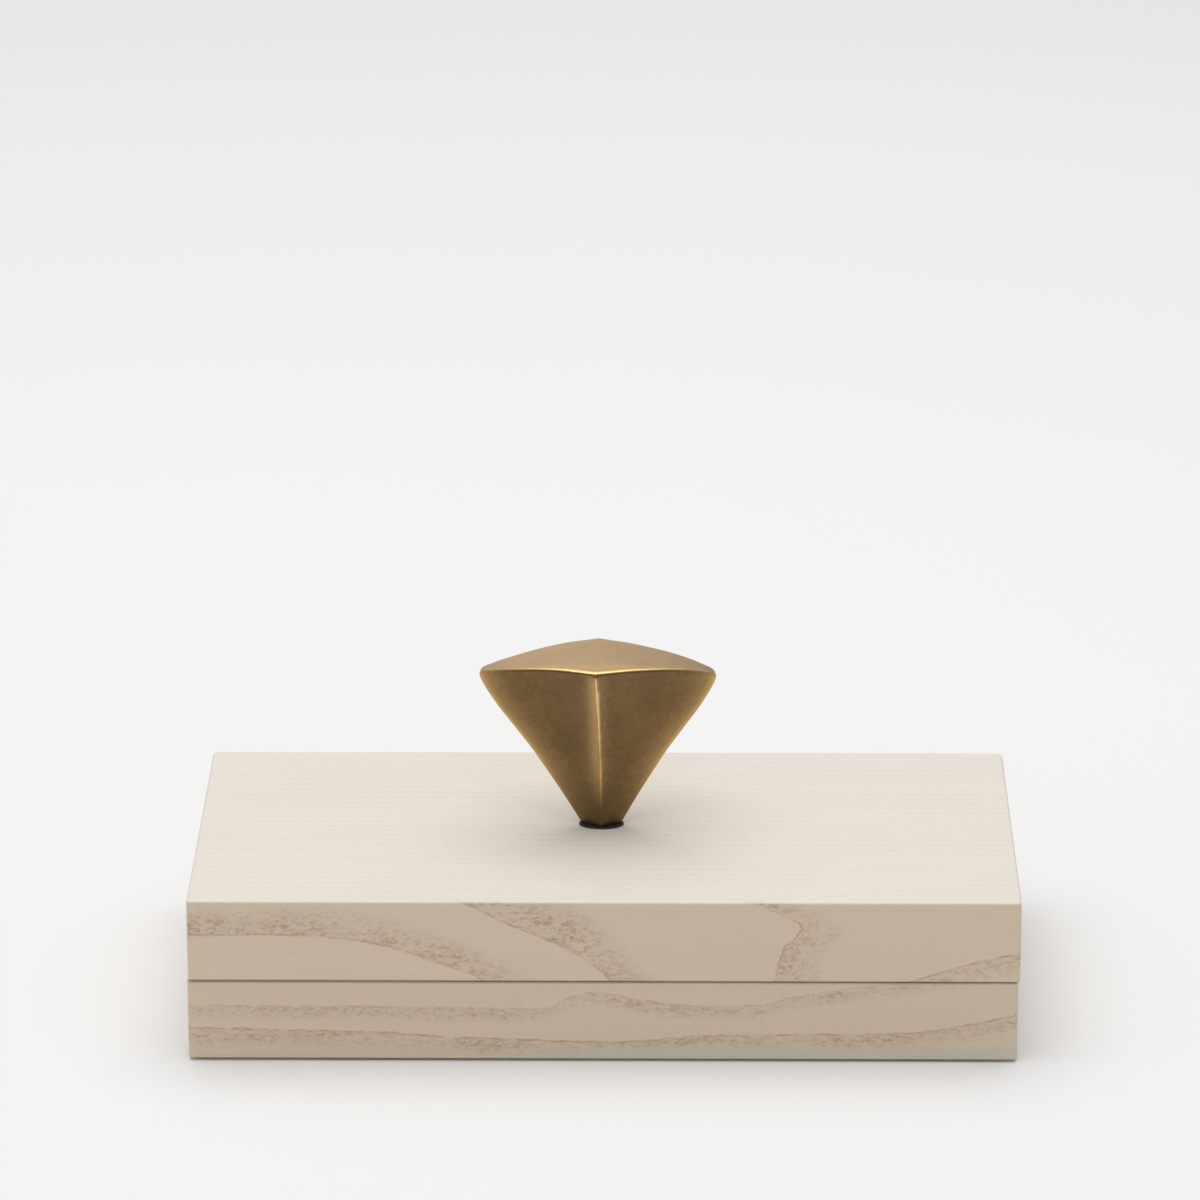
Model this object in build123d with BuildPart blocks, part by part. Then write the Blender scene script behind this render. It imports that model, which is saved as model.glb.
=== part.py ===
"""Watercolour paint box: two limed-ash layers, a lift-off lid with a brass knob, and inside a tray of
half pans, a glazed mixing palette and a short round brush.

Millimetres. +Z up, +X to the right along the length, +Y to the back. The origin is on the resting
surface, under the middle of the box. The box stands closed.
"""

from build123d import *
import math
import os

# ---------------------------------------------------------------- driving dimensions
# layers
PAD_T = 0.7                       # thin pad that lifts the box off the table
BASE_L, BASE_W = 199.8, 99.6      # lower layer, length and depth
BASE_X = -0.2                     # its middle
BASE_Z0, BASE_Z1 = PAD_T, 20.7    # underside and rim
LID_L, LID_W = 200.0, 100.0       # upper layer
LID_X = 0.1                       # the lid sits a hair to the right, within its play
LID_Z0, LID_Z1 = 21.05, 41.6      # underside of the rim and top face
WALL = 9.0                        # milled wall of the lower layer
FLOOR_Z = 7.0                     # milled floor of the lower layer
CEIL_Z = 36.6                     # milled ceiling of the lid

# lining strips, glued in the base and standing proud of it
LINER_T = 2.4
LINER_Z1 = 24.2
CAV_L, CAV_W = BASE_L - 2 * WALL, BASE_W - 2 * WALL     # 181.8 x 81.6
IN_L, IN_W = CAV_L - 2 * LINER_T, CAV_W - 2 * LINER_T   # 177.0 x 76.8
LID_PLAY = 0.6                    # all round, between lining and lid

# knob
KNOB_X, KNOB_Y = -0.95, 0.6       # the screw hole is drilled a little off the middle
KNOB_TURN = -1.2                  # degrees about Z
KNOB_LEAN = math.tan(math.radians(1.25))  # it stands a touch out of upright, towards -X
WASHER_T, WASHER_A, WASHER_B = 0.45, 5.5, 3.6   # oval, a little larger than the foot all round
KNOB_Z0 = LID_Z1 + WASHER_T
KNOB_H = 43.9
# half length and half depth of the kite-shaped section, by height above the foot
KNOB_SECTIONS = [
    (0.0, 4.85, 3.05, 0.55, 0.50),
    (7.0, 8.85, 4.75, 0.70, 0.55),
    (13.2, 12.65, 6.25, 0.85, 0.60),
    (19.5, 16.65, 7.80, 1.00, 0.65),
    (25.8, 21.15, 9.55, 1.15, 0.70),
    (32.1, 25.60, 11.25, 1.30, 0.75),
    (38.3, 28.90, 12.10, 1.40, 0.80),
    (44.5, 30.40, 12.50, 1.45, 0.80),
]
# outline of the softly arched top, half of it: distance from the middle, drop below the crown
KNOB_ARCH = [(0, 0), (8.0, 0.17), (12.0, 0.50), (15.7, 0.84), (19.6, 1.40), (23.5, 2.22),
             (25.6, 2.80), (27.6, 3.48), (28.9, 4.40), (29.5, 6.10)]
# the left shoulder is a little lower, by distance from the middle
LEFT_EXTRA = {12.0: 0.08, 15.7: 0.23, 19.6: 0.36, 23.5: 0.27, 25.6: 0.17, 27.6: 0.09}

# fixing of the knob
SCREW_R, SCREW_HOLE_R, SCREW_CLEAR_R = 1.5, 1.55, 1.7
SCREW_GRIP = 12.8                 # shank, from under the head
HEAD_R, HEAD_T = 2.8, 1.9
SEAT_R, SEAT_DEPTH = 5.0, 1.5     # counterbore in the lid's ceiling
FENDER_R, FENDER_T = 4.5, 0.8

# inside
DIV_T, DIV_Z1 = 2.4, 14.0
DIV_Y0 = -17.5                    # front face of the long divider
RIB_T, RIB_Z1, RIB_X = 2.4, 12.0, 5.8

PAN_L, PAN_W, PAN_H = 19.2, 16.2, 10.2
PAN_WALL, PAN_FLOOR, PAN_R = 0.9, 1.0, 1.6
PAN_PITCH_X, PAN_PITCH_Y = 19.6, 16.8
TRAY_L, TRAY_W, TRAY_T = 80.0, 52.0, 0.7
TRAY_Z1 = 12.6
TRAY_X, TRAY_Y = -47.7, 11.7

PAL_L, PAL_W, PAL_H = 80.0, 52.0, 10.4
PAL_X, PAL_Y = 47.5, 11.7
WELL_FLOOR = 3.6                  # glazed floor left under the wells

BRUSH_Y, BRUSH_Z = -28.0, 12.6
REST_T, REST_X = 6.0, (-58.0, 12.0)
REST_GAP = 0.3

Z_PAN = FLOOR_Z + TRAY_T

os.makedirs("parts", exist_ok=True)
pieces = []


def keep(part, name):
    """Label a finished piece and write it."""
    part.label = name
    export_step(part, f"parts/{name}.step")
    pieces.append((name, part))


# ---------------------------------------------------------------- lower layer
with BuildPart() as base_tray:
    with BuildSketch(Plane.XY.offset(BASE_Z0)):
        with Locations((BASE_X, 0)):
            Rectangle(BASE_L, BASE_W)
    extrude(amount=BASE_Z1 - BASE_Z0)
    # hand-softened corners: each one a little different
    front = base_tray.edges().filter_by(Axis.Z).group_by(Axis.Y)[0].sort_by(Axis.X)
    fillet(front[0], 0.8)
    front = base_tray.edges().filter_by(Axis.Z).group_by(Axis.Y)[0].sort_by(Axis.X)
    fillet(front[-1], 1.1)
    back = base_tray.edges().filter_by(Axis.Z).group_by(Axis.Y)[-1].sort_by(Axis.X)
    fillet(back[0], 1.3)
    back = base_tray.edges().filter_by(Axis.Z).group_by(Axis.Y)[-1].sort_by(Axis.X)
    fillet(back[-1], 1.6)
    fillet(base_tray.faces().sort_by(Axis.Z)[-1].edges(), 0.35)
    fillet(base_tray.faces().sort_by(Axis.Z)[0].edges(), 0.35)
    # the milled well
    with BuildSketch(Plane.XY.offset(BASE_Z1)):
        with Locations((BASE_X, 0)):
            Rectangle(CAV_L, CAV_W)
    extrude(amount=-(BASE_Z1 - FLOOR_Z), mode=Mode.SUBTRACT)
keep(base_tray.part, "base_tray")

# thin cork pad let on to the underside, held in from the edges
with BuildPart() as base_pad:
    with BuildSketch(Plane.XY):
        with Locations((BASE_X, 0)):
            RectangleRounded(BASE_L - 7.0, BASE_W - 7.0, 2.0)
    extrude(amount=PAD_T)
keep(base_pad.part, "base_pad")

# ---------------------------------------------------------------- lining strips, mitred
x0, x1 = BASE_X - CAV_L / 2, BASE_X + CAV_L / 2
y0, y1 = -CAV_W / 2, CAV_W / 2
t = LINER_T
MITRE = {
    "liner_front": [(x0, y0), (x1, y0), (x1 - t, y0 + t), (x0 + t, y0 + t)],
    "liner_back": [(x0, y1), (x1, y1), (x1 - t, y1 - t), (x0 + t, y1 - t)],
    "liner_left": [(x0, y0), (x0 + t, y0 + t), (x0 + t, y1 - t), (x0, y1)],
    "liner_right": [(x1, y0), (x1 - t, y0 + t), (x1 - t, y1 - t), (x1, y1)],
}
OUTSIDE = {"liner_front": (Axis.Y, 0), "liner_back": (Axis.Y, -1),
           "liner_left": (Axis.X, 0), "liner_right": (Axis.X, -1)}
for liner_name, outline in MITRE.items():
    with BuildPart() as liner:
        with BuildSketch(Plane.XY.offset(FLOOR_Z)):
            with BuildLine():
                Polyline(*outline, close=True)
            make_face()
        extrude(amount=LINER_Z1 - FLOOR_Z)
        # the outer top edge is eased so that the lid finds its way on
        axis, side = OUTSIDE[liner_name]
        top = liner.faces().sort_by(Axis.Z)[-1]
        chamfer(top.edges().sort_by(axis)[side], 0.5)
    keep(liner.part, liner_name)

# ---------------------------------------------------------------- low divider and ribs
ix0, ix1 = BASE_X - IN_L / 2, BASE_X + IN_L / 2
iy0, iy1 = -IN_W / 2, IN_W / 2

with BuildPart() as brush_divider:
    with BuildSketch(Plane.XY.offset(FLOOR_Z)):
        with Locations(((ix0 + ix1) / 2, DIV_Y0 + DIV_T / 2)):
            Rectangle(IN_L, DIV_T)
    extrude(amount=DIV_Z1 - FLOOR_Z)
    fillet(brush_divider.faces().sort_by(Axis.Z)[-1].edges().filter_by(Axis.X), 0.6)
keep(brush_divider.part, "brush_divider")

for rib_name, side in (("rib_left", -1), ("rib_right", 1)):
    with BuildPart() as rib:
        with BuildSketch(Plane.XY.offset(FLOOR_Z)):
            with Locations((side * RIB_X, (DIV_Y0 + DIV_T + iy1) / 2)):
                Rectangle(RIB_T, iy1 - DIV_Y0 - DIV_T)
        extrude(amount=RIB_Z1 - FLOOR_Z)
        fillet(rib.faces().sort_by(Axis.Z)[-1].edges().filter_by(Axis.Y), 0.5)
    keep(rib.part, rib_name)

# ---------------------------------------------------------------- lid
with BuildPart() as lid:
    with BuildSketch(Plane.XY.offset(LID_Z0)):
        with Locations((LID_X, 0)):
            Rectangle(LID_L, LID_W)
    extrude(amount=LID_Z1 - LID_Z0)
    front = lid.edges().filter_by(Axis.Z).group_by(Axis.Y)[0].sort_by(Axis.X)
    fillet(front[0], 0.9)
    front = lid.edges().filter_by(Axis.Z).group_by(Axis.Y)[0].sort_by(Axis.X)
    fillet(front[-1], 1.0)
    back = lid.edges().filter_by(Axis.Z).group_by(Axis.Y)[-1].sort_by(Axis.X)
    fillet(back[0], 1.4)
    back = lid.edges().filter_by(Axis.Z).group_by(Axis.Y)[-1].sort_by(Axis.X)
    fillet(back[-1], 2.0)
    fillet(lid.faces().sort_by(Axis.Z)[-1].edges(), 0.7)
    fillet(lid.faces().sort_by(Axis.Z)[0].edges(), 0.35)
    # rebate that slips over the lining, then the deeper hollow whose step rests on it
    with BuildSketch(Plane.XY.offset(LID_Z0)):
        with Locations((LID_X, 0)):
            RectangleRounded(CAV_L + 2 * LID_PLAY, CAV_W + 2 * LID_PLAY, 1.0)
    extrude(amount=LINER_Z1 - LID_Z0, mode=Mode.SUBTRACT)
    with BuildSketch(Plane.XY.offset(LINER_Z1)):
        with Locations((LID_X, 0)):
            RectangleRounded(IN_L + 0.4, IN_W + 0.4, 3.0)
    extrude(amount=CEIL_Z - LINER_Z1, mode=Mode.SUBTRACT)
    # seat for the screw's washer, and the screw's hole
    with BuildSketch(Plane.XY.offset(CEIL_Z)):
        with Locations((KNOB_X, KNOB_Y)):
            Circle(SEAT_R)
    extrude(amount=SEAT_DEPTH, mode=Mode.SUBTRACT)
    with BuildSketch(Plane.XY.offset(CEIL_Z)):
        with Locations((KNOB_X, KNOB_Y)):
            Circle(SCREW_CLEAR_R)
    extrude(amount=LID_Z1 - CEIL_Z, mode=Mode.SUBTRACT)
keep(lid.part, "lid")

# ---------------------------------------------------------------- knob
TURN = math.radians(KNOB_TURN)


def kite(a, b, z):
    """Corners of the kite-shaped section at height z, turned with the knob."""
    c, s = math.cos(TURN), math.sin(TURN)
    return [(KNOB_X - KNOB_LEAN * z + c * px - s * py, KNOB_Y + s * px + c * py)
            for px, py in ((a, 0), (0, b), (-a, 0), (0, -b))]


with BuildPart() as knob:
    for h, a, b, r_end, r_ridge in KNOB_SECTIONS:
        # the drawn corner lies outside the rounded one, so that the rounded end has half length a
        a_draw, b_draw = a, b
        for _ in range(6):
            half = math.atan2(b_draw, a_draw)
            a_draw = a + r_end * (1 / math.sin(half) - 1)
            b_draw = b + r_ridge * (1 / math.cos(half) - 1)
        with BuildSketch(Plane.XY.offset(KNOB_Z0 + h)) as section:
            Polygon(*kite(a_draw, b_draw, h), align=None)
            ends = section.vertices().sort_by(Axis.X)
            fillet([ends[0], ends[-1]], r_end)
            ridges = section.vertices().sort_by(Axis.Y)
            fillet(section.vertices().filter_by(
                lambda v: abs(v.X - KNOB_X) < 0.3 * a_draw and abs(v.Y - KNOB_Y) > 0.8 * b_draw), r_ridge)
    loft()
    # trim the top to its soft arch
    arch_plane = Plane(origin=(KNOB_X - KNOB_LEAN * KNOB_H, KNOB_Y, KNOB_Z0 + KNOB_H),
                       x_dir=(math.cos(TURN), math.sin(TURN), 0),
                       z_dir=(math.sin(TURN), -math.cos(TURN), 0))
    with BuildSketch(arch_plane):
        with BuildLine():
            left = [(-px, -d - LEFT_EXTRA.get(px, 0)) for px, d in reversed(KNOB_ARCH[1:])]
            right = [(px, -d) for px, d in KNOB_ARCH]
            Spline(*left, *right)
            xe, de = KNOB_ARCH[-1]
            Polyline((xe, -de), (xe + 4, -de - 6), (xe + 4, -KNOB_H - 2), (-xe - 4, -KNOB_H - 2),
                     (-xe - 4, -de - 6), (-xe, -de))
        make_face()
    extrude(amount=20, both=True, mode=Mode.INTERSECT)
    # threaded hole for the screw
    with BuildSketch(Plane.XY.offset(KNOB_Z0)):
        with Locations((KNOB_X, KNOB_Y)):
            Circle(SCREW_HOLE_R)
    extrude(amount=9.5, mode=Mode.SUBTRACT)
keep(knob.part, "knob")

with BuildPart() as knob_washer:
    with BuildSketch(Plane.XY.offset(LID_Z1)):
        with Locations((KNOB_X, KNOB_Y)):
            Ellipse(WASHER_A, WASHER_B, rotation=math.degrees(TURN))
            Circle(SCREW_CLEAR_R, mode=Mode.SUBTRACT)
    extrude(amount=WASHER_T)
keep(knob_washer.part, "knob_washer")

seat_z = CEIL_Z + SEAT_DEPTH
with BuildPart() as screw_washer:
    with BuildSketch(Plane.XY.offset(seat_z - FENDER_T)):
        with Locations((KNOB_X, KNOB_Y)):
            Circle(FENDER_R)
            Circle(SCREW_CLEAR_R, mode=Mode.SUBTRACT)
    extrude(amount=FENDER_T)
keep(screw_washer.part, "screw_washer")

head_z = seat_z - FENDER_T
with BuildPart() as knob_screw:
    with BuildSketch(Plane.XY.offset(head_z - HEAD_T)):
        with Locations((KNOB_X, KNOB_Y)):
            Circle(HEAD_R)
    extrude(amount=HEAD_T)
    fillet(knob_screw.faces().sort_by(Axis.Z)[0].edges(), 0.7)
    # cross recess
    with BuildSketch(Plane.XY.offset(head_z - HEAD_T)):
        with Locations((KNOB_X, KNOB_Y)):
            Rectangle(3.0, 0.6)
            Rectangle(0.6, 3.0)
    extrude(amount=1.0, mode=Mode.SUBTRACT)
    with BuildSketch(Plane.XY.offset(head_z)):
        with Locations((KNOB_X, KNOB_Y)):
            Circle(SCREW_R)
    extrude(amount=SCREW_GRIP)
    chamfer(knob_screw.faces().sort_by(Axis.Z)[-1].edges(), 0.35)
keep(knob_screw.part, "knob_screw")

# ---------------------------------------------------------------- tray of half pans
with BuildPart() as pan_tray:
    with BuildSketch(Plane.XY.offset(FLOOR_Z)):
        with Locations((TRAY_X, TRAY_Y)):
            RectangleRounded(TRAY_L, TRAY_W, 2.0)
    extrude(amount=TRAY_Z1 - FLOOR_Z)
    with BuildSketch(Plane.XY.offset(FLOOR_Z + TRAY_T)):
        with Locations((TRAY_X, TRAY_Y)):
            RectangleRounded(TRAY_L - 2 * TRAY_T, TRAY_W - 2 * TRAY_T, 2.0 - TRAY_T)
    extrude(amount=TRAY_Z1 - FLOOR_Z - TRAY_T, mode=Mode.SUBTRACT)
keep(pan_tray.part, "pan_tray")

COLOURS = [  # back row first, left to right
    "lemon_yellow", "warm_yellow", "orange", "scarlet",
    "crimson", "violet", "deep_blue", "sky_blue",
    "blue_green", "leaf_green", "yellow_ochre", "burnt_umber",
]
for index, colour in enumerate(COLOURS):
    row, col = divmod(index, 4)
    px = TRAY_X + (col - 1.5) * PAN_PITCH_X
    py = TRAY_Y + (1 - row) * PAN_PITCH_Y
    with BuildPart() as half_pan:
        # a moulded cup with a little draft and a rim
        with BuildSketch(Plane.XY.offset(Z_PAN)):
            with Locations((px, py)):
                RectangleRounded(PAN_L - 1.4, PAN_W - 1.4, PAN_R)
        with BuildSketch(Plane.XY.offset(Z_PAN + PAN_H - 0.9)):
            with Locations((px, py)):
                RectangleRounded(PAN_L - 0.8, PAN_W - 0.8, PAN_R)
        loft()
        with BuildSketch(Plane.XY.offset(Z_PAN + PAN_H - 0.9)):
            with Locations((px, py)):
                RectangleRounded(PAN_L, PAN_W, PAN_R + 0.4)
        extrude(amount=0.9)
        with BuildSketch(Plane.XY.offset(Z_PAN + PAN_FLOOR)):
            with Locations((px, py)):
                RectangleRounded(PAN_L - 2 * PAN_WALL - 1.6, PAN_W - 2 * PAN_WALL - 1.6, PAN_R - 0.5)
        with BuildSketch(Plane.XY.offset(Z_PAN + PAN_H)):
            with Locations((px, py)):
                RectangleRounded(PAN_L - 2 * PAN_WALL - 0.6, PAN_W - 2 * PAN_WALL - 0.6, PAN_R - 0.5)
        loft(mode=Mode.SUBTRACT)
    keep(half_pan.part, f"half_pan_{index + 1:02d}")

    with BuildPart() as cake:
        # cast paint, shrunk a hair from the cup's walls
        with BuildSketch(Plane.XY.offset(Z_PAN + PAN_FLOOR)):
            with Locations((px, py)):
                RectangleRounded(PAN_L - 2 * PAN_WALL - 1.8, PAN_W - 2 * PAN_WALL - 1.8, PAN_R - 0.6)
        with BuildSketch(Plane.XY.offset(Z_PAN + PAN_H - 1.7)):
            with Locations((px, py)):
                RectangleRounded(PAN_L - 2 * PAN_WALL - 0.95, PAN_W - 2 * PAN_WALL - 0.95, PAN_R - 0.6)
        loft()
        fillet(cake.faces().sort_by(Axis.Z)[-1].edges(), 0.5)
    keep(cake.part, f"paint_{colour}")

# ---------------------------------------------------------------- mixing palette
with BuildPart() as mixing_palette:
    with BuildSketch(Plane.XY.offset(FLOOR_Z)):
        with Locations((PAL_X, PAL_Y)):
            RectangleRounded(PAL_L - 1.6, PAL_W - 1.6, 2.6)
    with BuildSketch(Plane.XY.offset(FLOOR_Z + PAL_H)):
        with Locations((PAL_X, PAL_Y)):
            RectangleRounded(PAL_L, PAL_W, 3.4)
    loft()
    fillet(mixing_palette.faces().sort_by(Axis.Z)[-1].edges(), 0.9)
    # three long wells in front, three small ones behind
    for wy, ww in ((PAL_Y - 6.9, 31.6), (PAL_Y + 17.2, 11.0)):
        for wx in (PAL_X - 25.2, PAL_X, PAL_X + 25.2):
            with BuildSketch(Plane.XY.offset(FLOOR_Z + PAL_H)):
                with Locations((wx, wy)):
                    RectangleRounded(22.6, ww, 3.4)
            extrude(amount=-(PAL_H - WELL_FLOOR), taper=12, mode=Mode.SUBTRACT)
keep(mixing_palette.part, "mixing_palette")

# ---------------------------------------------------------------- brush and its rests
HANDLE = [(-83.0, 0.0), (-82.6, 1.1), (-80.0, 1.55), (-60.0, 2.15), (-35.0, 2.85), (-8.0, 3.25),
          (12.0, 3.15), (24.0, 2.75), (31.0, 2.45)]


def handle_radius(x):
    """Handle radius along the brush, straight between the listed stations."""
    for (xa, ra), (xb, rb) in zip(HANDLE, HANDLE[1:]):
        if xa <= x <= xb:
            return ra + (rb - ra) * (x - xa) / (xb - xa)
    return 0.0


brush_plane = Plane(origin=(0, BRUSH_Y, BRUSH_Z), x_dir=(1, 0, 0), z_dir=(0, -1, 0))
brush_axis = Axis((0, BRUSH_Y, BRUSH_Z), (1, 0, 0))

with BuildPart() as brush_handle:
    with BuildSketch(brush_plane):
        with BuildLine():
            Spline(*HANDLE)
            Polyline((31.0, 2.45), (31.0, 2.1), (38.0, 2.0), (38.0, 0.0), (-83.0, 0.0))
        make_face()
    revolve(axis=brush_axis)
keep(brush_handle.part, "brush_handle")

with BuildPart() as brush_ferrule:
    with BuildSketch(brush_plane):
        with BuildLine():
            Polyline((31.05, 2.14), (31.05, 2.5), (34.0, 2.5), (34.4, 2.35), (35.0, 2.35), (35.4, 2.5),
                     (37.0, 2.48), (37.4, 2.33), (38.0, 2.33), (38.4, 2.46), (57.0, 1.95), (57.0, 1.7),
                     (40.0, 2.14), (31.05, 2.14), close=True)
        make_face()
    revolve(axis=brush_axis)
keep(brush_ferrule.part, "brush_ferrule")

with BuildPart() as brush_hair:
    with BuildSketch(brush_plane):
        with BuildLine():
            Polyline((46.0, 0.0), (46.0, 1.6), (57.2, 1.6))
            Spline((57.2, 1.6), (61.0, 2.3), (65.0, 2.55), (70.0, 2.1), (75.0, 1.15), (79.0, 0.35),
                   (80.5, 0.1))
            Polyline((80.5, 0.1), (80.5, 0.0), (46.0, 0.0))
        make_face()
    revolve(axis=brush_axis)
keep(brush_hair.part, "brush_hair")

for rest_name, rest_x in zip(("brush_rest_left", "brush_rest_right"), REST_X):
    notch = max(handle_radius(rest_x - REST_T / 2), handle_radius(rest_x + REST_T / 2)) + REST_GAP
    with BuildPart() as brush_rest:
        with BuildSketch(Plane.YZ.offset(rest_x - REST_T / 2)):
            with BuildLine():
                Polyline((iy0, FLOOR_Z), (DIV_Y0, FLOOR_Z), (DIV_Y0, BRUSH_Z - 0.4), (iy0, BRUSH_Z - 0.4),
                         close=True)
            make_face()
        extrude(amount=REST_T)
        with BuildSketch(Plane.YZ.offset(rest_x - REST_T / 2)):
            with Locations((BRUSH_Y, BRUSH_Z)):
                Circle(notch)
        extrude(amount=REST_T, mode=Mode.SUBTRACT)
    keep(brush_rest.part, rest_name)

print(len(pieces), "pieces")
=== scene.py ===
import math
import random

import bpy
import bmesh
import numpy as np
from mathutils import Matrix, Vector


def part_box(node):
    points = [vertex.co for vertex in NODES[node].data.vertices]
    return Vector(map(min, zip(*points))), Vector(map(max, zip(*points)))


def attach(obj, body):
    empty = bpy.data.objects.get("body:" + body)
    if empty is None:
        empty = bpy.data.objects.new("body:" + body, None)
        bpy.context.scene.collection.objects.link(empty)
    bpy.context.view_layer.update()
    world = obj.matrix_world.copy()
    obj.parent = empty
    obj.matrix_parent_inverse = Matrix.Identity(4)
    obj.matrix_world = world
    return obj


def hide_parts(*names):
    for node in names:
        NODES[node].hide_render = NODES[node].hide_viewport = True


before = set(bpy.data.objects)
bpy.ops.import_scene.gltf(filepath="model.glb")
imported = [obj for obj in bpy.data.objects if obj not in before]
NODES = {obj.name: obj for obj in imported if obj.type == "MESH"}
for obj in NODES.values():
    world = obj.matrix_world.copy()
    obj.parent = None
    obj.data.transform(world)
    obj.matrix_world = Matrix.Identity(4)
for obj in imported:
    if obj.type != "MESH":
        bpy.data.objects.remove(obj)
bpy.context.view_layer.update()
MM = 0.001


# ------------------------------------------------------------------ node helpers
class S:
    """A socket that can be added, multiplied and so on."""

    def __init__(self, mat, sock):
        self.mat, self.sock = mat, sock

    def __add__(self, o): return self.mat.math("ADD", self, o)
    def __radd__(self, o): return self.mat.math("ADD", o, self)
    def __sub__(self, o): return self.mat.math("SUBTRACT", self, o)
    def __rsub__(self, o): return self.mat.math("SUBTRACT", o, self)
    def __mul__(self, o): return self.mat.math("MULTIPLY", self, o)
    def __rmul__(self, o): return self.mat.math("MULTIPLY", o, self)
    def __truediv__(self, o): return self.mat.math("DIVIDE", self, o)
    def __neg__(self): return self.mat.math("MULTIPLY", self, -1.0)
    def __pow__(self, o): return self.mat.math("POWER", self, o)


class Mat:
    """A material built from nodes, with short names for the nodes used here."""

    def __init__(self, name):
        self.m = bpy.data.materials.new(name)
        self.m.use_nodes = True
        self.t = self.m.node_tree
        self.t.nodes.clear()
        out = self.t.nodes.new("ShaderNodeOutputMaterial")
        self.b = self.t.nodes.new("ShaderNodeBsdfPrincipled")
        self.t.links.new(self.b.outputs[0], out.inputs[0])
        coord = self.t.nodes.new("ShaderNodeTexCoord")
        scale = self.t.nodes.new("ShaderNodeVectorMath")
        scale.operation = "SCALE"
        self.t.links.new(coord.outputs["Object"], scale.inputs[0])
        scale.inputs["Scale"].default_value = 1000.0
        self.p = S(self, scale.outputs[0])          # place in millimetres, row frame
        sep = self.t.nodes.new("ShaderNodeSeparateXYZ")
        self.t.links.new(scale.outputs[0], sep.inputs[0])
        self.x, self.y, self.z = (S(self, sep.outputs[i]) for i in range(3))

    def put(self, value, socket):
        if isinstance(value, S):
            self.t.links.new(value.sock, socket)
        elif value is not None:
            if isinstance(value, (tuple, list)):
                value = tuple(value)
                if len(value) == 3 and len(socket.default_value) == 4:
                    value = value + (1.0,)
            socket.default_value = value

    def math(self, op, a, b=None, c=None, clamp=False):
        n = self.t.nodes.new("ShaderNodeMath")
        n.operation, n.use_clamp = op, clamp
        for v, i in ((a, 0), (b, 1), (c, 2)):
            self.put(v, n.inputs[i])
        return S(self, n.outputs[0])

    def abs(self, a): return self.math("ABSOLUTE", a)
    def max(self, a, b): return self.math("MAXIMUM", a, b)
    def min(self, a, b): return self.math("MINIMUM", a, b)
    def floor(self, a): return self.math("FLOOR", a)
    def frac(self, a): return self.math("FRACT", a)

    def vec(self, x, y, z):
        n = self.t.nodes.new("ShaderNodeCombineXYZ")
        for v, i in ((x, 0), (y, 1), (z, 2)):
            self.put(v, n.inputs[i])
        return S(self, n.outputs[0])

    def stretch(self, sx, sy, sz, p=None):
        n = self.t.nodes.new("ShaderNodeVectorMath")
        n.operation = "MULTIPLY"
        self.put(p or self.p, n.inputs[0])
        n.inputs[1].default_value = (sx, sy, sz)
        return S(self, n.outputs[0])

    def noise(self, p, scale=1.0, detail=2.0, rough=0.5, distortion=0.0, offset=0.0):
        """Noise about 0, from -1 to 1."""
        n = self.t.nodes.new("ShaderNodeTexNoise")
        n.noise_dimensions = "4D"
        n.inputs["W"].default_value = offset
        self.put(p, n.inputs["Vector"])
        n.inputs["Scale"].default_value = scale
        n.inputs["Detail"].default_value = detail
        n.inputs["Roughness"].default_value = rough
        n.inputs["Distortion"].default_value = distortion
        return self.math("MULTIPLY_ADD", S(self, n.outputs[0]), 2.0, -1.0)

    def voronoi(self, p, scale=1.0, feature="F1", out="Distance"):
        n = self.t.nodes.new("ShaderNodeTexVoronoi")
        n.feature = feature
        self.put(p, n.inputs["Vector"])
        n.inputs["Scale"].default_value = scale
        return S(self, n.outputs[out])

    def step(self, v, lo, hi, a=0.0, b=1.0, smooth=True):
        """v from lo to hi gives a to b, held outside."""
        n = self.t.nodes.new("ShaderNodeMapRange")
        n.interpolation_type = "SMOOTHSTEP" if smooth else "LINEAR"
        n.clamp = True
        for value, i in ((v, 0), (lo, 1), (hi, 2), (a, 3), (b, 4)):
            self.put(value, n.inputs[i])
        return S(self, n.outputs[0])

    def mix(self, f, a, b, kind="MIX"):
        n = self.t.nodes.new("ShaderNodeMix")
        n.data_type, n.blend_type = "RGBA", kind
        n.clamp_factor = True
        self.put(f, n.inputs[0])
        self.put(a, n.inputs[6])
        self.put(b, n.inputs[7])
        return S(self, n.outputs[2])

    def curve(self, v, points, lo, hi):
        """A value that follows points (v, result); v runs from lo to hi. The curve node works on 0 to 1."""
        ys = [p[1] for p in points]
        y0, y1 = min(ys), max(ys)
        n = self.t.nodes.new("ShaderNodeFloatCurve")
        c = n.mapping.curves[0]
        pts = [((px - lo) / (hi - lo), (py - y0) / (y1 - y0)) for px, py in points]
        while len(c.points) < len(pts):
            c.points.new(0.5, 0.5)
        for point, place in zip(c.points, pts):
            point.location = place
        for point, place in zip(list(c.points), sorted(pts)):
            point.location = place
            point.handle_type = "AUTO_CLAMPED"
        n.mapping.update()
        self.put(self.step(v, lo, hi, smooth=False), n.inputs["Value"])
        return self.math("MULTIPLY_ADD", S(self, n.outputs[0]), y1 - y0, y0)

    def attr(self, name):
        n = self.t.nodes.new("ShaderNodeAttribute")
        n.attribute_name = name
        return S(self, n.outputs["Fac"])

    def normal_z(self):
        n = self.t.nodes.new("ShaderNodeNewGeometry")
        s = self.t.nodes.new("ShaderNodeSeparateXYZ")
        self.t.links.new(n.outputs["Normal"], s.inputs[0])
        return S(self, s.outputs[2])

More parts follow.
